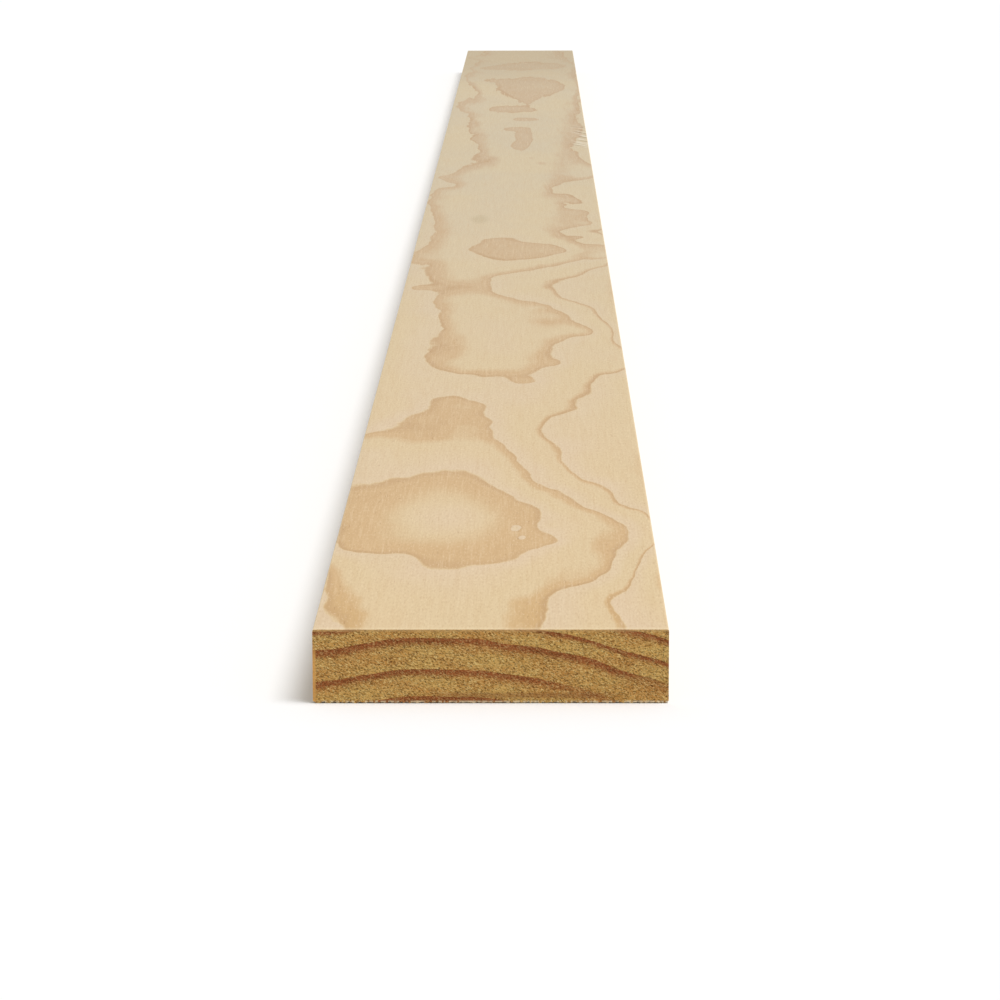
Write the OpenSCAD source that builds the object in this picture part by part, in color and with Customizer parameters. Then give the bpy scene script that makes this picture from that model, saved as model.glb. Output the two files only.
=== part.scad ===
// Dressed pine plank: one sawn and planed piece, lying flat on its wide face.
// The grain runs along Y, the wide faces look up and down, and the origin is
// on the floor under the middle of the plank.

/* [Plank] */
// Length along the grain, from saw cut to saw cut
plank_l = 2400; // [600:100:6000]
// Width of the dressed faces
plank_w = 90; // [30:1:290]
// Thickness between the dressed faces
plank_t = 19; // [9:0.5:50]

/* [Edges] */
// Radius that eases the four long arrises
arris_r = 0.5; // [0.1:0.1:4]

/* [Hidden] */

// Sides of the circle that rounds an arris
$fn = 48;

// Flat part of the wide faces, between their eased arrises
face_w = plank_w - 2 * arris_r;
// Flat part of the narrow edges, between their eased arrises
edge_t = plank_t - 2 * arris_r;

// Cross-section that the planer leaves: square, with its corners just eased
module dressed_section() {
    square([face_w, plank_t], center = true);
    square([plank_w, edge_t], center = true);
    for (side = [-1, 1], level = [-1, 1])
        translate([side * face_w / 2, level * edge_t / 2])
            circle(r = arris_r);
}

// The section run along the grain, cut square at both ends
module plank() {
    color("burlywood")
        translate([0, plank_l / 2, plank_t / 2])
            rotate([90, 0, 0])
                linear_extrude(height = plank_l)
                    dressed_section();
}

plank();
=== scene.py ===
import math

import bpy
import numpy as np
from mathutils import Euler, Matrix, Vector


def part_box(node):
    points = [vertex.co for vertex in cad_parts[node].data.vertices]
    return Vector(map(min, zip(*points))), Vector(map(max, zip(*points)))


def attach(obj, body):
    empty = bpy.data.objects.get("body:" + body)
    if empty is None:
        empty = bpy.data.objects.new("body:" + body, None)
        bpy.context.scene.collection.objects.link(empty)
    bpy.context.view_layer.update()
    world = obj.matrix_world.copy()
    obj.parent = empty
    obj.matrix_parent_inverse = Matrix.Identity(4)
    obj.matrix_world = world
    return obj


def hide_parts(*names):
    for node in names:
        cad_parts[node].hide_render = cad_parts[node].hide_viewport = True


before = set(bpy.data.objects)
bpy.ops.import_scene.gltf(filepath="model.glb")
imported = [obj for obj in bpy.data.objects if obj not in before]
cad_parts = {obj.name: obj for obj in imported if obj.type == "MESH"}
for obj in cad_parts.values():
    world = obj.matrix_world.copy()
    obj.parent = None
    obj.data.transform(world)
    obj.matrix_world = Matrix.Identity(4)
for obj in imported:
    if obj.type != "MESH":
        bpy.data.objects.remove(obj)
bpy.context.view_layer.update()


def srgb(red, green, blue):
    """A colour of 0 to 255, as seen on a screen, in Blender's own linear values."""
    def linear(level):
        """One of its three parts."""
        part = level / 255
        return part / 12.92 if part <= 0.04045 else ((part + 0.055) / 1.055) ** 2.4
    return (linear(red), linear(green), linear(blue), 1.0)


# Sizes of the plank and of its mesh, in metres
MM = 0.001
PLANK_LOW, PLANK_HIGH = (Vector(corner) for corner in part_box("plank"))
LENGTH = PLANK_HIGH.y - PLANK_LOW.y
WIDTH = PLANK_HIGH.x - PLANK_LOW.x
THICKNESS = PLANK_HIGH.z - PLANK_LOW.z
ARRIS = 0.5 * MM
FACE_CELL = 3.0 * MM
STATION_GAP = 8.0 * MM
STITCH = 3.0 * MM
SAWN_CELLS = 12
ARRIS_CELLS = 3
SHARP_ANGLE = math.radians(50)
TINY = 1e-9
# The plank's texture map: the share of its height that the long faces take, and the gap beside the ends
MAP_LONG = 0.84
MAP_GAP = 0.006
# The same plank in millimetres, from the middle of its underside, for the wood
HALF_LENGTH = LENGTH / MM / 2
HALF_WIDTH = WIDTH / MM / 2
TOP = THICKNESS / MM

# Camera, measured from the middle of the near end's lower edge, in metres and degrees
CAMERA_BACK = 0.9607
CAMERA_SIDE = 0.0107
CAMERA_HEIGHT = 0.2224
CAMERA_PITCH = 10.0465
CAMERA_YAW = 0.492
CAMERA_ROLL = -0.119
CAMERA_LENS = 140.2
CAMERA_SENSOR = 36.0
CAMERA_REACH = 200.0

# Studio: the floor, as the camera sees it and as it lights the plank, the room and the lamp
FLOOR_HALF = 40.0
FLOOR_DROP = 0.05 * MM
FLOOR_SEEN = (0.97, 0.97, 0.97, 1.0)
FLOOR_LIT = (0.75, 0.75, 0.75, 1.0)
ROOM_WHITE = (1.0, 1.0, 1.0, 1.0)
ROOM_LIGHT = 0.45
LAMP_STRENGTH = 2.0
LAMP_SPREAD = math.radians(30)
LAMP_WAY = (-0.35, 0.12, -1.0)

# Torn grain of the sawn ends: the saw's slope, the two parts of its cut, and the tears of the lower edge
SAW_SLOPE = math.radians(25)
STROKE_CUT = 0.45
STROKE_CUT_RANGE = (0.3, 0.7)
FIBRE_END_CUT = 0.55
TEAR_RANGE = (0.35, 0.7)
TEAR_RIM = (0.9, 0.0)
# Loose fibres along the lower edges: where they stand, and how far each may differ
FIBRE_SIDES = 4
FIBRE_TIP = 0.01 * MM
FIBRE_ROOT = 0.5 * MM
FIBRE_LIFT = 0.35 * MM
FIBRE_JITTER = ((-0.3 * MM, 0.0, -0.12 * MM), (0.3 * MM, 0.0, 0.30 * MM))
FIBRE_DIP = 0.1
FIBRE_RISE = 0.4
FIBRE_TURN = 0.5
FIBRE_SIZE = ((0.6, 0.6, 0.4), (1.0, 1.0, 0.85))
TURN_SEED = 10.0
SIZE_SEED = 20.0

# The tree: its pith runs along the plank, under it, in millimetres from the middle of the underside
PITH_X = -9.2
PITH_Z = -92.0
# Rings: where each begins, in millimetres outwards from the top face over the pith, and its share of latewood
RINGS = (
    (-32.0, 0.35),
    (-25.0, 0.35),
    (-17.5, 0.34),
    (-10.5, 0.42),
    (-2.4, 0.22),
    (2.2, 0.12),
    (7.7, 0.25),
    (13.5, 0.25),
    (19.5, 0.25),
    (26.0, 0.25),
)
# Swells of the growth layers: across, along, half width, half length and height, in millimetres
SWELLS = (
    # The waver of the rings over the near end
    (-55, -1200, 25, 90, -3.3),
    (-42, -1200, 10, 30, 1.0),
    (-45, -1195, 6, 40, -1.0),
    (-23, -1200, 6, 30, -0.3),
    (5, -1180, 5, 30, 0.6),
    (9, -1200, 5, 30, -0.2),
    (25, -1200, 7, 30, -0.6),
    (45, -1200, 9, 30, -2.3),
    # The large eye beside it
    (-20, -1037, 32, 81, -7.2),
    (-12, -1043, 16, 30, -2.2),
    (-52, -1022, 14, 76, -7.0),
    (-38, -1085, 12, 20, -2.5),
    (6, -990, 12, 25, 1.0),
    (6, -1056, 1.6, 5, 3.5),
    (8, -1073, 1.6, 5, 2.4),
    (10, -1055, 6, 12, -0.8),
    (15, -1055, 3, 8, 0.8),
    (11, -1032, 6, 14, -1.4),
    (13, -1080, 8, 17, -3.2),
    (3, -1102, 9, 16, -1.6),
    (-25, -1106, 6, 14, 1.0),
    # The sweep round its right side, down to the stripe at the end
    (36, -1060, 18, 60, -6.5),
    (32, -1118, 12, 22, -2.8),
    (24, -1138, 8, 12, -1.2),
    (30, -1072, 5, 26, 0.9),
    (38, -1085, 6, 18, -1.2),
    (43, -1115, 6, 30, 2.5),
    (31, -1168, 6, 16, 1.5),
    (38, -1015, 9, 20, 2.4),
    (48, -1064, 8, 18, -2.0),
    (30, -960, 14, 40, 3.2),
    (22, -945, 8, 20, 0.8),
    (48, -890, 9, 90, -2.0),
    (8, -955, 8, 30, 0.8),
    # The crest beyond it
    (-48, -925, 16, 45, -6.0),
    (-20, -870, 22, 40, 0.6),
    (18, -880, 18, 60, 5.5),
    (-10, -778, 30, 30, 3.2),
    (-36, -828, 9, 20, 1.5),
    (-18, -850, 12, 35, 0.9),
    (-4, -812, 7, 16, 1.0),
    (-25, -900, 22, 16, 1.0),
    (2, -835, 9, 30, 2.0),
    (26, -815, 6, 16, 0.9),
    (-32, -850, 7, 22, -0.8),
    (-11, -812, 6, 14, 0.7),
    (-3, -860, 5, 20, -0.5),
    (-40, -885, 8, 20, -0.4),
    (45, -700, 14, 40, -5.5),
    (46, -730, 10, 25, -2.2),
    # The pale field a quarter of the way along
    (0, -660, 22, 60, -1.2),
    (-17, -665, 11, 45, 1.6),
    (-6, -738, 16, 14, 0.6),
    (-20, -752, 12, 14, 0.9),
    (8, -767, 6, 10, -1.7),
    (20, -718, 5, 14, -1.5),
    (32, -625, 14, 35, -5.0),
    (32, -640, 8, 14, -0.8),
    (26, -575, 10, 22, -1.6),
    (14, -552, 8, 16, -1.2),
    (18, -580, 8, 14, -1.0),
    (27, -640, 5, 12, 0.8),
    (26, -520, 12, 24, 2.2),
    (-34, -596, 10, 40, 1.0),
    (-26, -626, 5, 20, 0.6),
    (-30, -730, 7, 14, 0.6),
    (-20, -690, 8, 25, 0.5),
    (-40, -486, 8, 12, -2.2),
    (-20, -486, 11, 20, 1.0),
    (2, -505, 8, 30, 1.2),
    (-3, -445, 9, 22, 1.2),
    (15, -475, 24, 45, 4.6),
    (30, -385, 14, 22, -2.5),
    (46, -405, 10, 16, -2.4),
    (46, -368, 10, 16, -4.2),
    (48, -338, 14, 40, -9.0),
    (-46, -385, 14, 65, -4.2),
    (-38, -395, 9, 35, 1.2),
    # The lens beyond it
    (1, -333, 24, 55, -4.3),
    (19, -338, 12, 30, -4.2),
    (24, -345, 8, 14, -1.4),
    (10, -372, 14, 18, -1.0),
    (8, -305, 10, 10, 0.6),
    (-18, -340, 6, 16, -0.7),
    # The middle, between its two wavy sides
    (55, 750, 36, 850, -11.0),
    (0, 150, 30, 400, -1.2),
    (40, -170, 20, 110, -5.0),
    (36, -285, 8, 16, -2.0),
    (36, -258, 8, 12, 3.0),
    (38, -222, 6, 14, -1.8),
    (34, -140, 7, 14, 3.0),
    (22, -50, 7, 40, 1.2),
    (27, -175, 6, 35, 0.9),
    (27, -118, 5, 10, 1.4),
    (44, 110, 14, 95, -3.0),
    (44, 50, 12, 50, -4.5),
    (-44, -100, 14, 130, -3.0),
    (-27, -140, 9, 100, -0.8),
    (-40, -280, 8, 60, -0.8),
    (-33, -18, 8, 18, 1.3),
    (-42, 28, 8, 16, -1.4),
    (-13, 128, 12, 55, 2.8),
    (10, 150, 3, 12, 1.7),
    (15, 118, 3, 12, 1.7),
    (-22, 210, 9, 40, 0.9),
    (-30, 230, 12, 110, 1.6),
    (-17, 300, 6, 70, 1.2),
    (45, 330, 10, 90, -1.6),
    (-38, 530, 8, 36, -1.2),
    (-42, 590, 10, 60, -2.4),
    (-32, 700, 8, 60, 0.9),
    (-42, 880, 12, 50, -2.0),
    # Small eyes in the far half
    (6, 310, 5.5, 44, -4.2),
    (3, 235, 5, 35, -3.0),
    (0, 364, 8, 15, -2.8),
    (7, 443, 10, 14, -3.6),
    (-8, 535, 15, 34, -4.0),
    (8, 528, 8, 18, -1.6),
    (8, 610, 8, 45, -1.6),
    (5, 765, 27, 95, -4.6),
    (4, 650, 12, 40, -2.0),
    (24, 750, 12, 80, -2.5),
    (-28, 830, 12, 40, -3.0),
    (5, 985, 36, 48, -4.4),
    (-28, 968, 10, 24, -3.0),
    (10, 1045, 14, 20, -1.4),
    (22, 948, 10, 16, 1.0),
    (30, 1000, 14, 35, -2.8),
    (-36, 1100, 12, 20, -4.0),
)

# Noises: the size of their blobs across, along and up, in millimetres, then their detail and roughness
WANDER = ((16.0, 34.0, 12.0), 2.0, 0.5)
JAG = ((3.0, 14.0, 3.0), 2.0, 0.5)
TATTER = ((5.0, 60.0, 5.0), 3.0, 0.6)
DRIFT = ((40.0, 110.0, 40.0), 2.0, 0.5)
FIBRE = ((0.6, 24.0, 0.6), 3.0, 0.65)
DASHES = ((0.40, 6.0, 0.40), 1.0, 0.5)
PORES = ((0.5, 3.0, 0.5), 2.0, 0.7)
LAYERS = ((0.045, 1.0, 1.0), 1.0, 0.5)
SCUFFS = ((3.0, 40.0, 1.0), 1.0, 0.5)
STROKES = ((1.3, 9.0, 0.34), 2.0, 0.6)
PATCHES = ((14.0, 9.0, 4.0), 2.0, 0.5)
TUFTS = ((0.8, 9.0, 9.0), 2.0, 0.5)
TEARS = ((1.3, 40.0, 40.0), 3.0, 0.7)
LOOSE_TINTS = ((0.6, 0.6, 0.6), 2.0, 0.5)
FIBRE_END_CELL = (0.40, 9.0, 0.13)
NOISE_MIDDLE = 0.5
# How far the first three shift the rings, in millimetres, and the part of the length in which tatter comes in
WANDER_REACH = (4.0, 15.0, 1.4)
JAG_REACH = 0.3
TATTER_REACH = 3.0
TATTER_SPAN = (-300.0, 800.0)

# Planed wood: where it greys along the length, the parts of a ring, and their tints
GREYING = (-1500.0, 300.0)
SOFT_EDGE = (1.0, 0.965)
EARLY_RANGE = (0.0, 0.55)
LATE_BEGINS = -0.35
LATE_BEGINS_SHIFT = -0.55
LATE_FULL = 0.45
DRIFT_RANGE = (0.3, 0.7)
DRIFT_SHARE = 0.3
RING_EDGE_SHARE = 0.18
RING_EDGE_DRIFT = 0.38
EARLY_INNER = srgb(229, 203, 170)
EARLY_OUTER = srgb(228, 201, 158)
EARLY_FAR = srgb(209, 195, 168)
EARLY_DRIFT = srgb(222, 201, 158)
LATE_NEAR = srgb(219, 182, 131)
LATE_FAR = srgb(204, 181, 150)
# Its coats: the tint, the two values between which it comes in, its share, and what latewood adds to that
FAR_END_COAT = (srgb(186, 170, 142), 650.0, 1100.0, 0.60, 0.0)
RESIN_COAT = (srgb(210, 170, 108), -1120.0, -1185.0, 0.0, 0.50)
RING_EDGE_COAT = (srgb(184, 144, 100), 0.88, 0.975, 1.0, 0.0)
LAYER_COAT = (srgb(198, 158, 108), 0.50, 0.70, 0.0, 0.18)
DARK_FIBRE_COAT = (srgb(205, 168, 120), 0.42, 0.72, 0.20, 0.16)
PALE_FIBRE_COAT = (srgb(240, 216, 178), 0.48, 0.26, 0.18, 0.16)
DARK_PORE_COAT = (srgb(200, 166, 122), 0.50, 0.72, 0.40, 0.0)
PALE_PORE_COAT = (srgb(246, 224, 190), 0.46, 0.28, 0.40, 0.0)
DASH_COAT = (srgb(178, 136, 92), 0.68, 0.78, 0.25, 0.30)
SMUDGE_COAT = (srgb(170, 152, 108), 1.3, 0.0, 0.45, 0.0)
PALE_SCUFF_COAT = (srgb(234, 226, 208), 0.52, 0.62, 0.60, 0.0)
DARK_SCUFF_COAT = (srgb(166, 146, 112), 0.46, 0.36, 0.60, 0.0)
# The smudge, the scuffs on the right arris, and the worn arrises with a painted highlight along the sides, in
# millimetres
SMUDGE_X = -16.0
SMUDGE_Y = -200.0
SMUDGE_HALF_WIDTH = 5.0
SMUDGE_HALF_LENGTH = 24.0
SCUFF_Y = 305.0
SCUFF_HALF_LENGTH = 95.0
SCUFF_FADE = (1.0, 0.4)
SCUFF_SIDE = (HALF_WIDTH - 12.0, HALF_WIDTH - 5.0)
SCUFF_TOP = (TOP - 2.0, TOP - 0.4)
SCUFF_COSINE = 0.93
SCUFF_SINE = 0.37
# A pale tint on the arrises: wear near the ends, and wear with a painted highlight along the side arrises
WORN_AND_HIGHLIGHT_TINT = srgb(248, 226, 184)
HIGHLIGHT_WORN_SIDES = (HALF_WIDTH - 0.7, HALF_WIDTH - 0.1)
HIGHLIGHT_WORN_SIDE_SHARE = 0.45
WORN_ENDS = (HALF_LENGTH - 4.0, HALF_LENGTH - 0.5)
WORN_END_SHARE = 0.35
# Its surface: the relief in metres and its strength, the part of dashes and pores in it, roughness and shine
PLANED_RELIEF = (0.06 * MM, 0.5)
FINE_RELIEF = 0.5
PLANED_ROUGHNESS = 0.62
LATE_ROUGHNESS = -0.10
FIBRE_ROUGHNESS = 0.08
PLANED_SHINE = 0.25

# Sawn wood: its two tones, its latewood, and the stretch at the lower right where that is faint
PATCH_RANGE = (0.35, 0.65)
SAWN_EARLY = (srgb(228, 182, 102), srgb(218, 161, 86))
SAWN_LATE = (srgb(160, 82, 44), srgb(172, 96, 54))
SAWN_LATE_RANGE = (0.66, 0.89)
SAWN_LATE_SHARE = 0.88
SAWN_LATE_JAG = 0.25
HALO_RANGE = (0.45, 0.90)
HALO_SHARE = 0.25
FAINT_SIDE = (8.0, 26.0)
FAINT_LEVEL = (8.0, 5.0)
FAINT_SHARE = 0.7
# Its coats, as for planed wood
# The fibre-end and stroke coats follow the grain that cuts the ends back. Besides the fibre ends' own dark
# and pale tones, they add painted shade to its deeper cells and grooves and a painted highlight to its high
# cells.
DARK_END_AND_SHADE_COAT = (srgb(98, 54, 14), 0.52, 0.92, 0.90, 0.0)
PALE_END_AND_HIGHLIGHT_COAT = (srgb(255, 228, 154), 0.42, 0.08, 1.0, -0.50)
STROKE_AND_SHADE_COAT = (srgb(118, 64, 30), 0.56, 0.74, 0.40, 0.0)
FOOT_COAT = (srgb(140, 72, 42), 1.1, 0.2, 0.40, 0.0)
TUFT_COAT = (srgb(255, 236, 196), 0.42, 0.58, 0.80, 0.0)
# A painted highlight along the lower part of the left arris of the ends
LEFT_ARRIS_HIGHLIGHT_COAT = (srgb(246, 186, 106), HALF_WIDTH - 1.0, HALF_WIDTH - 0.5, 0.75, 0.0)
TOP_ARRIS_COAT = (srgb(226, 184, 124), TOP - 0.8, TOP - 0.3, 0.50, 0.0)
# The streak over the foot, the tufts on the lower edge and the painted highlight along the left arris, in
# millimetres
FOOT_LEVEL = 2.0
FOOT_X = 8.0
FOOT_SPAN = (26.0, 16.0)
TUFT_RIM = (0.8, 0.4)
LEFT_ARRIS_HIGHLIGHT_LEVEL = (16.0, 12.0)
# Its surface
SAWN_RELIEF = (0.2 * MM, 0.7)
SAWN_ROUGHNESS = 0.85
SAWN_SHINE = 0.15

# Loose fibres: their tints and their surface
LOOSE_DARK = srgb(232, 190, 124)
LOOSE_PALE = srgb(255, 240, 196)
LOOSE_RELIEF = (0.05 * MM, 0.4)
LOOSE_ROUGHNESS = 0.9
LOOSE_SHINE = 0.1


class Socket:
    """A node's output. Arithmetic on it adds Math nodes to its tree."""

    def __init__(self, sheet, output):
        self.sheet = sheet
        self.output = output

    def beside(self, name):
        """Another output of the same node."""
        return Socket(self.sheet, self.output.node.outputs[name])

    def math(self, operation, first, second=0.0):
        """A Math node on one or two values."""
        return self.sheet.node("ShaderNodeMath", {"operation": operation}, {0: first, 1: second})

    def __add__(self, other):
        return self.math("ADD", self, other)

    __radd__ = __add__

    def __sub__(self, other):
        return self.math("SUBTRACT", self, other)

    def __rsub__(self, other):
        return self.math("SUBTRACT", other, self)

    def __mul__(self, other):
        return self.math("MULTIPLY", self, other)

    __rmul__ = __mul__

    def __truediv__(self, other):
        return self.math("DIVIDE", self, other)

    def __pow__(self, other):
        return self.math("POWER", self, other)

    def __rpow__(self, other):
        return self.math("POWER", other, self)

    def fraction(self):
        """The part after the decimal point."""
        return self.math("FRACT", self)

    def size(self):
        """The value without its sign."""
        return self.math("ABSOLUTE", self)


class Sheet:
    """A node tree that is being drawn."""

    def __init__(self, tree):
        self.tree = tree

    def node(self, kind, settings=None, sockets=None, output=0):
        """Adds a node: its settings first, then the values or links of its sockets."""
        node = self.tree.nodes.new(kind)
        for name, value in (settings or {}).items():
            if name == "stops":
                self.set_stops(node.color_ramp, *value)
            else:
                setattr(node, name, value)
        for name, value in (sockets or {}).items():
            if isinstance(value, Socket):
                self.tree.links.new(value.output, node.inputs[name])
            else:
                node.inputs[name].default_value = value
        return Socket(self, node.outputs[output]) if len(node.outputs) else node

    @staticmethod
    def set_stops(ramp, interpolation, stops):
        """Gives a ramp its grey levels, each at its own position."""
        ramp.interpolation = interpolation
        while len(ramp.elements) < len(stops):
            ramp.elements.new(1.0)
        for element, (position, level) in zip(ramp.elements, stops):
            element.position = position
            element.color = (level, level, level, 1.0)

    def vector(self, operation, first, second, output=0):
        """A Vector Math node on two vectors."""
        return self.node("ShaderNodeVectorMath", {"operation": operation}, {0: first, 1: second}, output)

    def place(self):
        """The point on the piece, in millimetres."""
        if self.tree.bl_idname == "GeometryNodeTree":
            spot = self.node("GeometryNodeInputPosition")
        else:
            spot = self.node("ShaderNodeTexCoord", output="Object")
        return self.vector("DIVIDE", spot, (MM, MM, MM))

    def apart(self, vector):
        """A vector's three parts."""
        x = self.node("ShaderNodeSeparateXYZ", None, {0: vector})
        return x, x.beside("Y"), x.beside("Z")

    def together(self, x=0.0, y=0.0, z=0.0):
        """A vector of three parts."""
        return self.node("ShaderNodeCombineXYZ", None, {0: x, 1: y, 2: z})

    def noise(self, place, grain, detail, roughness, output=0):
        """Noise from 0 to 1 whose blobs are about as large as grain, in millimetres."""
        spot = self.vector("DIVIDE", place, grain)
        sockets = {"Vector": spot, "Scale": 1.0, "Detail": detail, "Roughness": roughness}
        return self.node("ShaderNodeTexNoise", None, sockets, output)

    def rise(self, value, low, high):
        """0 at low, 1 at high, and a smooth rise between them. High may be the smaller of the two."""
        settings = {"interpolation_type": "SMOOTHSTEP"}
        return self.node("ShaderNodeMapRange", settings, {0: value, 1: low, 2: high})

    def blend(self, share, first, second):
        """The first colour, with a share of the second."""
        return self.node("ShaderNodeMix", {"data_type": "RGBA"}, {0: share, 6: first, 7: second}, 2)

    def paint(self, colour, late, coats):
        """A colour under its coats, each with the value that it follows, a factor and its own numbers."""
        for value, factor, (tint, low, high, share, late_share) in coats:
            cover = self.rise(value, low, high) * factor * (share + late_share * late)
            colour = self.blend(cover, colour, tint)
        return colour

    def bump(self, height, depth, strength):
        """The surface's direction under a fine relief."""
        return self.node("ShaderNodeBump", None, {"Height": height, "Distance": depth, "Strength": strength})

    def random(self, low, high, seed):
        """A random vector for each point, between two corners."""
        sockets = {0: low, 1: high, "Seed": seed}
        return self.node("FunctionNodeRandomValue", {"data_type": "FLOAT_VECTOR"}, sockets)

    def join(self, parts):
        """Several shapes as one, in the order given."""
        node = self.tree.nodes.new("GeometryNodeJoinGeometry")
        for part in reversed(parts):
            self.tree.links.new(part.output, node.inputs[0])
        return Socket(self, node.outputs[0])


def growth_ring(sheet, place):
    """The growth ring at a point, as two values.

    The first runs through the ring, from 0 at its pale start to 1 at its dark edge towards the bark.
    The second is the part of the ring at which latewood begins.
    """
    wander = sheet.noise(place, *WANDER, output="Color")
    shift = sheet.vector("MULTIPLY", sheet.vector("SUBTRACT", wander, (NOISE_MIDDLE,) * 3), WANDER_REACH)
    x, y, z = sheet.apart(sheet.vector("ADD", place, shift))
    pith_gap = ((x - PITH_X) ** 2 + (z - PITH_Z) ** 2) ** 0.5
    depth = pith_gap - (TOP - PITH_Z)
    on_face = sheet.together(x, y)
    for across, along, half_width, half_length, height in SWELLS:
        away = sheet.vector("SUBTRACT", on_face, (across, along, 0.0))
        away = sheet.vector("DIVIDE", away, (half_width, half_length, 1.0))
        square = sheet.vector("DOT_PRODUCT", away, away, "Value")
        depth = depth + height * math.exp(-1.0) ** square
    jag = (sheet.noise(place, *JAG) - NOISE_MIDDLE) * JAG_REACH
    tatter = (sheet.noise(place, *TATTER) - NOISE_MIDDLE) * sheet.rise(y, *TATTER_SPAN) * TATTER_REACH
    depth = depth + jag + tatter

    low, high = RINGS[0][0], RINGS[-1][0]
    last = len(RINGS) - 1
    level = (depth - low) / (high - low)
    begins = [(begin - low) / (high - low) for begin, _ in RINGS]
    counts = [(begin, number / last) for number, begin in enumerate(begins)]
    lates = [(begin, 1 - late) for begin, (_, late) in zip(begins, RINGS)]
    count = sheet.node("ShaderNodeValToRGB", {"stops": ("LINEAR", counts)}, {0: level})
    late_start = sheet.node("ShaderNodeValToRGB", {"stops": ("CONSTANT", lates)}, {0: level})
    return (count * last).fraction(), late_start


def saw_grain(sheet, place):
    """The torn grain of a sawn end, from 0 to 1: strokes along the saw's slope, and fibre ends."""
    x, y, z = sheet.apart(place)
    along = x * math.cos(SAW_SLOPE) - z * math.sin(SAW_SLOPE)
    over = x * math.sin(SAW_SLOPE) + z * math.cos(SAW_SLOPE)
    stroke = sheet.together(along, y, over)
    strokes = sheet.noise(stroke, *STROKES)
    cells = sheet.vector("DIVIDE", stroke, FIBRE_END_CELL)
    fibre_ends = sheet.node("ShaderNodeTexVoronoi", None, {"Vector": cells, "Scale": 1.0}, "Color")
    return strokes, fibre_ends


def new_material(name):
    """A material with an empty tree, and the sheet to draw it on."""
    material = bpy.data.materials.new(name)
    material.use_nodes = True
    material.node_tree.nodes.clear()
    return material, Sheet(material.node_tree)


def finish_surface(sheet, colour, normal, roughness, shine):
    """Adds the shader and the output."""
    shader = sheet.node("ShaderNodeBsdfPrincipled", None, {
        "Base Color": colour, "Normal": normal, "Roughness": roughness, "Specular IOR Level": shine})
    sheet.node("ShaderNodeOutputMaterial", None, {"Surface": shader})


def planed_pine():
    """Bare planed faces: cream earlywood, tan latewood with a darker outer edge, fine fibre."""
    material, sheet = new_material("planed_pine")
    place = sheet.place()
    x, y, z = sheet.apart(place)
    ring, late_start = growth_ring(sheet, place)
    far = sheet.rise(y, *GREYING)
    soft_edge = sheet.rise(ring, *SOFT_EDGE)
    into_late = (ring - late_start) / (1 - late_start)
    late = sheet.rise(into_late, LATE_BEGINS + LATE_BEGINS_SHIFT * far, LATE_FULL) * soft_edge
    drift = sheet.rise(sheet.noise(place, *DRIFT), *DRIFT_RANGE)
    fibre = sheet.noise(place, *FIBRE)
    dashes = sheet.noise(place, *DASHES)
    pores = sheet.noise(place, *PORES)
    layers = sheet.noise(sheet.together(ring), *LAYERS)

    # The smudge and the scuffs, where they lie
    off_smudge = ((x - SMUDGE_X) / SMUDGE_HALF_WIDTH) ** 2 + ((y - SMUDGE_Y) / SMUDGE_HALF_LENGTH) ** 2
    off_scuffs = ((y - SCUFF_Y) / SCUFF_HALF_LENGTH) ** 2
    scuffed = sheet.rise(x, *SCUFF_SIDE) * sheet.rise(z, *SCUFF_TOP) * sheet.rise(off_scuffs, *SCUFF_FADE)
    slant = sheet.together(x * SCUFF_COSINE + y * SCUFF_SINE, y * SCUFF_COSINE - x * SCUFF_SINE)
    scuffs = sheet.noise(slant, *SCUFFS)

    early = sheet.blend(sheet.rise(ring, *EARLY_RANGE), EARLY_INNER, EARLY_OUTER)
    early = sheet.blend(far, early, EARLY_FAR)
    early = sheet.blend(drift * DRIFT_SHARE, early, EARLY_DRIFT)
    colour = sheet.blend(late, early, sheet.blend(far, LATE_NEAR, LATE_FAR))
    colour = sheet.paint(colour, late, (
        (y, 1.0, FAR_END_COAT),
        (y, 1.0, RESIN_COAT),
        (ring, soft_edge * (RING_EDGE_SHARE + RING_EDGE_DRIFT * drift), RING_EDGE_COAT),
        (layers, 1.0, LAYER_COAT),
        (fibre, 1.0, DARK_FIBRE_COAT),
        (fibre, 1.0, PALE_FIBRE_COAT),
        (pores, 1.0, DARK_PORE_COAT),
        (pores, 1.0, PALE_PORE_COAT),
        (dashes, 1.0, DASH_COAT),
        (off_smudge, pores, SMUDGE_COAT),
        (scuffs, scuffed, PALE_SCUFF_COAT),
        (scuffs, scuffed, DARK_SCUFF_COAT),
    ))
    # Paler arrises: wear near the ends, and wear with a painted highlight along the sides
    highlighted_worn_sides = sheet.rise(x.size(), *HIGHLIGHT_WORN_SIDES) * HIGHLIGHT_WORN_SIDE_SHARE
    worn_ends = sheet.rise(y.size(), *WORN_ENDS) * WORN_END_SHARE
    colour = sheet.blend(highlighted_worn_sides + worn_ends, colour, WORN_AND_HIGHLIGHT_TINT)
    normal = sheet.bump(fibre + FINE_RELIEF * dashes + FINE_RELIEF * pores, *PLANED_RELIEF)
    roughness = PLANED_ROUGHNESS + LATE_ROUGHNESS * late + FIBRE_ROUGHNESS * fibre
    finish_surface(sheet, colour, normal, roughness, PLANED_SHINE)
    return material


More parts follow.
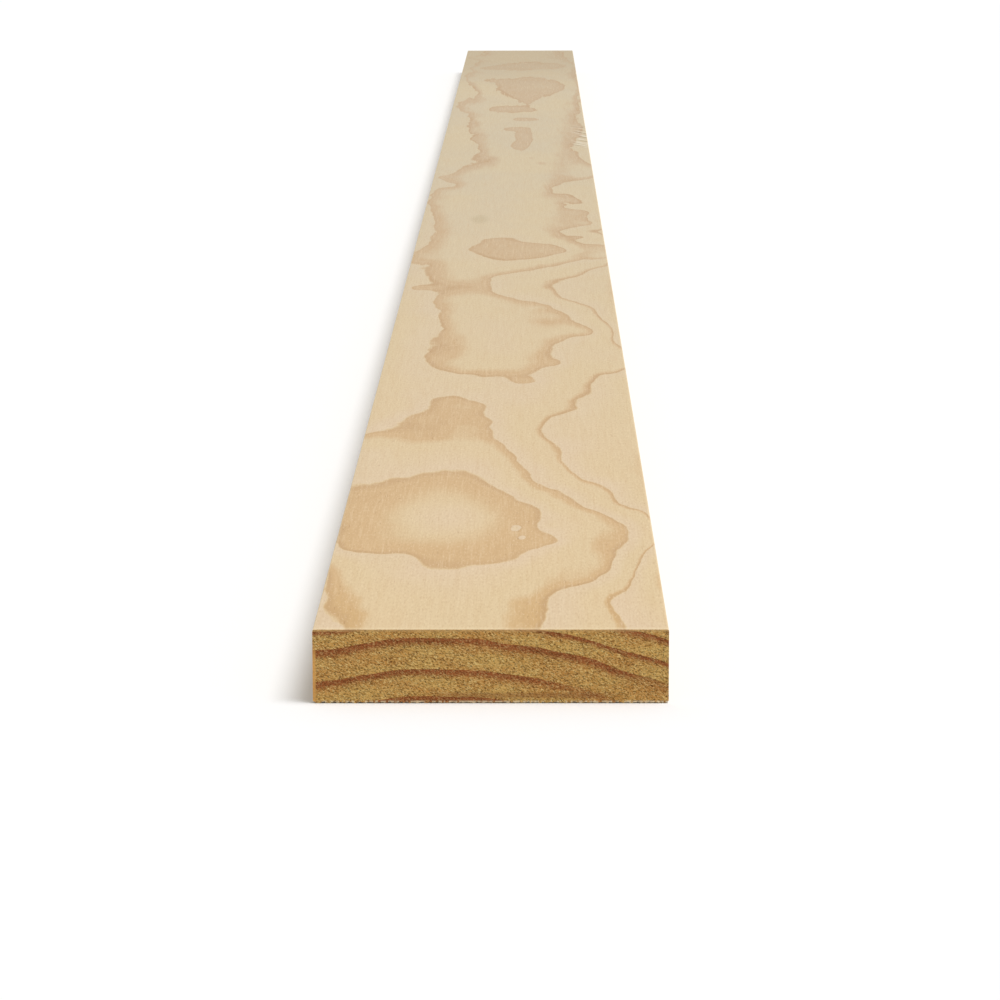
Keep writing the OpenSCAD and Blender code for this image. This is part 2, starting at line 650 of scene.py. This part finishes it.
def sawn_pine():
    """Sawn ends: darker and redder than the faces, with a coarse torn grain."""
    material, sheet = new_material("sawn_pine")
    place = sheet.place()
    x, _, z = sheet.apart(place)
    ring, _ = growth_ring(sheet, place)
    strokes, fibre_ends = saw_grain(sheet, place)
    patch = sheet.rise(sheet.noise(place, *PATCHES), *PATCH_RANGE)
    tufts = sheet.noise(place, *TUFTS)
    faint = sheet.rise(x, *FAINT_SIDE) * sheet.rise(z, *FAINT_LEVEL)
    jagged = ring + (strokes - NOISE_MIDDLE) * SAWN_LATE_JAG
    late = sheet.rise(jagged, *SAWN_LATE_RANGE) * (1.0 - FAINT_SHARE * faint)

    late_colour = sheet.blend(patch, *SAWN_LATE)
    colour = sheet.blend(patch, *SAWN_EARLY)
    colour = sheet.blend(sheet.rise(ring, *HALO_RANGE) * HALO_SHARE, colour, late_colour)
    colour = sheet.blend(late * SAWN_LATE_SHARE, colour, late_colour)
    # Fibre-end and stroke coats: the grain's own tones, with painted shade in the deeper cut and a painted
    # highlight on the high cells
    colour = sheet.paint(colour, late, (
        (fibre_ends, 1.0, DARK_END_AND_SHADE_COAT),
        (fibre_ends, 1.0, PALE_END_AND_HIGHLIGHT_COAT),
        (strokes, 1.0, STROKE_AND_SHADE_COAT),
        ((z - FOOT_LEVEL).size(), sheet.rise((x - FOOT_X).size(), *FOOT_SPAN), FOOT_COAT),
        (tufts, sheet.rise(z, *TUFT_RIM), TUFT_COAT),
        # A painted highlight along the left arris
        (0.0 - x, sheet.rise(z, *LEFT_ARRIS_HIGHLIGHT_LEVEL), LEFT_ARRIS_HIGHLIGHT_COAT),
        (z, 1.0, TOP_ARRIS_COAT),
    ))
    normal = sheet.bump(fibre_ends + strokes, *SAWN_RELIEF)
    finish_surface(sheet, colour, normal, SAWN_ROUGHNESS, SAWN_SHINE)
    return material


def torn_fibre():
    """Pale loose fibres that the saw leaves along its last edge."""
    material, sheet = new_material("torn_fibre")
    tint = sheet.noise(sheet.place(), *LOOSE_TINTS)
    colour = sheet.blend(tint, LOOSE_DARK, LOOSE_PALE)
    finish_surface(sheet, colour, sheet.bump(tint, *LOOSE_RELIEF), LOOSE_ROUGHNESS, LOOSE_SHINE)
    return material


def grid_lines(half, cell, parts):
    """Lines across a side of the section: a few over each eased arris, and even cells between them.

    The second list says which of them the long faces keep. The rest, which cut each cell into parts, are on
    the sawn ends alone.
    """
    flat = half - ARRIS
    cells = round(2 * flat / cell)
    inner = np.linspace(-flat, flat, cells * parts + 1)
    corner = np.linspace(0.0, ARRIS, ARRIS_CELLS + 1)[1:]
    lines = np.concatenate([-flat - corner[::-1], inner, flat + corner])
    kept = np.ones(len(lines), bool)
    kept[ARRIS_CELLS:-ARRIS_CELLS] = np.arange(len(inner)) % parts == 0
    return lines, kept


def ease_corners(x, z):
    """Draws the square corners of a section in to their round arrises."""
    over_x = np.maximum(np.abs(x) - (WIDTH / 2 - ARRIS), 0.0)
    over_z = np.maximum(np.abs(z) - (THICKNESS / 2 - ARRIS), 0.0)
    round_part = np.hypot(over_x, over_z)
    shrink = np.where(round_part > 0, np.maximum(over_x, over_z) / np.maximum(round_part, TINY), 1.0)
    return x - np.sign(x) * over_x * (1 - shrink), z - np.sign(z) * over_z * (1 - shrink)


def plank_mesh():
    """The plank as one closed mesh: fine grids on the sawn ends, joined to rings along the planed faces."""
    x_lines, x_kept = grid_lines(WIDTH / 2, FACE_CELL, SAWN_CELLS)
    z_lines, z_kept = grid_lines(THICKNESS / 2, FACE_CELL, SAWN_CELLS)
    columns, rows = len(x_lines), len(z_lines)
    grid_x, grid_z = ease_corners(*(lines.ravel() for lines in np.meshgrid(x_lines, z_lines)))

    # The rim of an end, once round, and the points of it that the long faces keep
    rim = [(column, 0) for column in range(columns - 1)]
    rim += [(columns - 1, row) for row in range(rows - 1)]
    rim += [(column, rows - 1) for column in range(columns - 1, 0, -1)]
    rim += [(0, row) for row in range(rows - 1, 0, -1)]
    rim_points = np.array([row * columns + column for column, row in rim])
    kept = [spot for spot, (column, row) in enumerate(rim) if x_kept[column] and z_kept[row]]
    ring = rim_points[kept]
    per_end = columns * rows
    per_ring = len(ring)

    # Points: the two ends, then a ring at each station
    ends_y = (-LENGTH / 2, LENGTH / 2)
    stations = np.linspace(ends_y[0] + STITCH, ends_y[1] - STITCH, round(LENGTH / STATION_GAP))
    middle_z = PLANK_LOW.z + THICKNESS / 2
    points = [np.stack([grid_x, np.full_like(grid_x, y), grid_z + middle_z], 1) for y in ends_y]
    points += [np.stack([grid_x[ring], np.full(per_ring, y), grid_z[ring] + middle_z], 1) for y in stations]

    # How far round the rim each of its points lies, as a share
    step_x = np.diff(grid_x[rim_points], append=grid_x[0])
    step_z = np.diff(grid_z[rim_points], append=grid_z[0])
    steps = np.hypot(step_x, step_z)
    around = np.append(0.0, np.cumsum(steps) / steps.sum())

    def long_spot(spot, y):
        """Place on the map of a rim point at y: the long faces are unrolled, with the ends above them."""
        return around[spot], (y / LENGTH + 0.5) * MAP_LONG

    def end_spot(point, end):
        """Place on the map of a point of an end: the two ends lie side by side."""
        across = (grid_x[point] / WIDTH + 0.5) * (0.5 - MAP_GAP)
        up = (grid_z[point] / THICKNESS + 0.5) * (1.0 - MAP_LONG - MAP_GAP)
        return across + end * (0.5 + MAP_GAP), up + MAP_LONG + MAP_GAP

    faces = []
    spots = []
    sawn = []

    def add_face(corners, places, is_sawn, flipped):
        """Keeps a face, its places on the map and whether it is sawn."""
        faces.append(corners[::-1] if flipped else corners)
        spots.extend(places[::-1] if flipped else places)
        sawn.append(is_sawn)

    # Sides of a ring: a point and the one after it, and where both lie on the rim
    afters = list(range(1, per_ring)) + [0]
    sides = list(zip(range(per_ring), afters, kept, kept[1:] + [len(rim)]))
    for end, end_y in enumerate(ends_y):
        base = end * per_end
        for row in range(rows - 1):
            for column in range(columns - 1):
                corner = row * columns + column
                quad = [corner, corner + 1, corner + columns + 1, corner + columns]
                places = [end_spot(point, end) for point in quad]
                add_face([base + point for point in quad], places, True, end == 1)
        station = end * (len(stations) - 1)
        ring_y = stations[station]
        first = 2 * per_end + station * per_ring
        for point, after, start, stop in sides:
            fine = list(range(stop, start - 1, -1))
            strip = [first + point, first + after] + [base + rim_points[spot % len(rim)] for spot in fine]
            places = [long_spot(start, ring_y), long_spot(stop, ring_y)]
            places += [long_spot(spot, end_y) for spot in fine]
            add_face(strip, places, False, end == 0)
    for station, (near_y, far_y) in enumerate(zip(stations[:-1], stations[1:])):
        near = 2 * per_end + station * per_ring
        far = near + per_ring
        for point, after, start, stop in sides:
            quad = [near + point, near + after, far + after, far + point]
            places = [long_spot(start, near_y), long_spot(stop, near_y),
                      long_spot(stop, far_y), long_spot(start, far_y)]
            add_face(quad, places, False, False)

    mesh = bpy.data.meshes.new("plank")
    mesh.from_pydata(np.concatenate(points).tolist(), [], [[int(point) for point in face] for face in faces])
    mesh.materials.append(planed_pine())
    mesh.materials.append(sawn_pine())
    mesh.polygons.foreach_set("material_index", np.array(sawn, int))
    mesh.uv_layers.new(name="OFBake").data.foreach_set("uv", np.array(spots).ravel())
    sawn_side = np.zeros(len(mesh.vertices))
    sawn_side[:per_end] = -1.0
    sawn_side[per_end:2 * per_end] = 1.0
    mesh.attributes.new("sawn_side", "FLOAT", "POINT").data.foreach_set("value", sawn_side)
    mesh.shade_smooth()
    return mesh


def roughen_ends(plank):
    """Cuts the sawn ends back by their torn grain, and leaves torn fibres along the lower edges."""
    tree = bpy.data.node_groups.new("sawn_ends", "GeometryNodeTree")
    sizes = {
        "Saw depth": ("NodeSocketFloat", 0.30 * MM),
        "Tear height": ("NodeSocketFloat", 0.5 * MM),
        "Fibre count": ("NodeSocketInt", 420),
        "Fibre length": ("NodeSocketFloat", 0.58 * MM),
        "Fibre radius": ("NodeSocketFloat", 0.15 * MM),
        "Seed": ("NodeSocketInt", 5),
    }
    tree.interface.new_socket("Plank", in_out="OUTPUT", socket_type="NodeSocketGeometry")
    tree.interface.new_socket("Plank", in_out="INPUT", socket_type="NodeSocketGeometry")
    keys = {}
    for name, (kind, _) in sizes.items():
        keys[name] = tree.interface.new_socket(name, in_out="INPUT", socket_type=kind).identifier

    # The cut, and the tears that lift the lower edge
    sheet = Sheet(tree)
    given = sheet.node("NodeGroupInput")
    place = sheet.place()
    _, _, z = sheet.apart(place)
    side = sheet.node("GeometryNodeInputNamedAttribute", {"data_type": "FLOAT"}, {"Name": "sawn_side"})
    strokes, fibre_ends = saw_grain(sheet, place)
    grain = STROKE_CUT * sheet.rise(strokes, *STROKE_CUT_RANGE) + FIBRE_END_CUT * fibre_ends
    cut = given.beside("Saw depth") * grain
    torn = sheet.rise(sheet.noise(place, *TEARS), *TEAR_RANGE) * sheet.rise(z, *TEAR_RIM)
    lift = given.beside("Tear height") * torn * side * side
    back = sheet.together(0.0, -1.0 * side * cut, lift)
    shape = sheet.node("GeometryNodeSetPosition", None, {"Geometry": given, "Offset": back})

    # The loose fibres
    sliver = sheet.node("GeometryNodeMeshCone", None, {
        "Vertices": FIBRE_SIDES, "Radius Top": FIBRE_TIP, "Radius Bottom": given.beside("Fibre radius"),
        "Depth": given.beside("Fibre length")})
    half = WIDTH / 2 - 2 * ARRIS
    slivers = []
    for number, (end, facing) in enumerate(((PLANK_LOW.y, 1.0), (PLANK_HIGH.y, -1.0))):
        root = end + facing * FIBRE_ROOT
        line = sheet.node("GeometryNodeMeshLine", {"mode": "END_POINTS"}, {
            "Count": given.beside("Fibre count"), "Start Location": (-half, root, FIBRE_LIFT),
            "Offset": (half, root, FIBRE_LIFT)})
        seed = given.beside("Seed") + float(number)
        jitter = sheet.random(*FIBRE_JITTER, seed)
        line = sheet.node("GeometryNodeSetPosition", None, {"Geometry": line, "Offset": jitter})
        lean = math.radians(90) * facing
        turn_low = (lean - FIBRE_DIP, -FIBRE_TURN, -FIBRE_TURN)
        turn_high = (lean + FIBRE_RISE * facing, FIBRE_TURN, FIBRE_TURN)
        turn = sheet.random(turn_low, turn_high, seed + TURN_SEED)
        size = sheet.random(*FIBRE_SIZE, seed + SIZE_SEED)
        slivers.append(sheet.node("GeometryNodeInstanceOnPoints", None, {
            "Points": line, "Instance": sliver, "Rotation": turn, "Scale": size}))
    fibres = sheet.node("GeometryNodeRealizeInstances", None, {"Geometry": sheet.join(slivers)})
    fibres = sheet.node("GeometryNodeSetMaterial", None, {"Geometry": fibres, "Material": torn_fibre()})
    sheet.node("NodeGroupOutput", None, {"Plank": sheet.join([shape, fibres])})

    modifier = plank.modifiers.new("sawn_ends", "NODES")
    modifier.node_group = tree
    for name, (_, size) in sizes.items():
        modifier[keys[name]] = size
    graph = bpy.context.evaluated_depsgraph_get()
    mesh = bpy.data.meshes.new_from_object(plank.evaluated_get(graph))
    plank.modifiers.remove(modifier)
    plank.data = mesh
    mesh.set_sharp_from_angle(angle=SHARP_ANGLE)


def add_object(name, data):
    """Puts a new object into the scene."""
    piece = bpy.data.objects.new(name, data)
    bpy.context.scene.collection.objects.link(piece)
    return piece


def set_camera():
    """The photo's camera: near the floor, looking along the plank."""
    data = bpy.data.cameras.new("camera")
    data.lens = CAMERA_LENS
    data.sensor_width = CAMERA_SENSOR
    data.clip_end = CAMERA_REACH
    camera = add_object("camera", data)
    camera.location = (CAMERA_SIDE, PLANK_LOW.y - CAMERA_BACK, CAMERA_HEIGHT)
    turn = Euler((math.radians(90 - CAMERA_PITCH), 0.0, math.radians(CAMERA_YAW))).to_matrix()
    turn = turn @ Matrix.Rotation(math.radians(CAMERA_ROLL), 3, "Z")
    camera.rotation_euler = turn.to_euler()
    bpy.context.scene.camera = camera


def studio_floor():
    """A pale floor that shows white to the camera, with the plank's shadow on it."""
    material, sheet = new_material("studio_floor")
    seen = sheet.node("ShaderNodeLightPath", output="Is Camera Ray")
    tint = sheet.blend(seen, FLOOR_LIT, FLOOR_SEEN)
    matt = sheet.node("ShaderNodeBsdfDiffuse", None, {"Color": tint})
    sheet.node("ShaderNodeOutputMaterial", None, {"Surface": matt})
    half = FLOOR_HALF
    mesh = bpy.data.meshes.new("floor")
    corners = [(-half, -half, 0), (half, -half, 0), (half, half, 0), (-half, half, 0)]
    mesh.from_pydata(corners, [], [(0, 1, 2, 3)])
    mesh.materials.append(material)
    floor = add_object("floor", mesh)
    floor.location.z = PLANK_LOW.z - FLOOR_DROP


def studio_light():
    """A soft room that shows white to the camera, and a lamp above, to the right and on the camera's side."""
    world = bpy.data.worlds.new("studio")
    world.use_nodes = True
    world.node_tree.nodes.clear()
    sheet = Sheet(world.node_tree)
    seen = sheet.node("ShaderNodeLightPath", output="Is Camera Ray")
    level = ROOM_LIGHT + seen * (1.0 - ROOM_LIGHT)
    room = sheet.node("ShaderNodeBackground", None, {"Color": ROOM_WHITE, "Strength": level})
    sheet.node("ShaderNodeOutputWorld", None, {"Surface": room})
    bpy.context.scene.world = world
    data = bpy.data.lights.new("lamp", "SUN")
    data.energy = LAMP_STRENGTH
    data.angle = LAMP_SPREAD
    lamp = add_object("lamp", data)
    lamp.rotation_euler = Vector(LAMP_WAY).to_track_quat("-Z", "Y").to_euler()


set_camera()
studio_floor()
studio_light()
bpy.context.scene.view_settings.view_transform = "Standard"

plank = add_object("plank_wood", plank_mesh())
roughen_ends(plank)
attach(plank, "root")
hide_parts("plank")
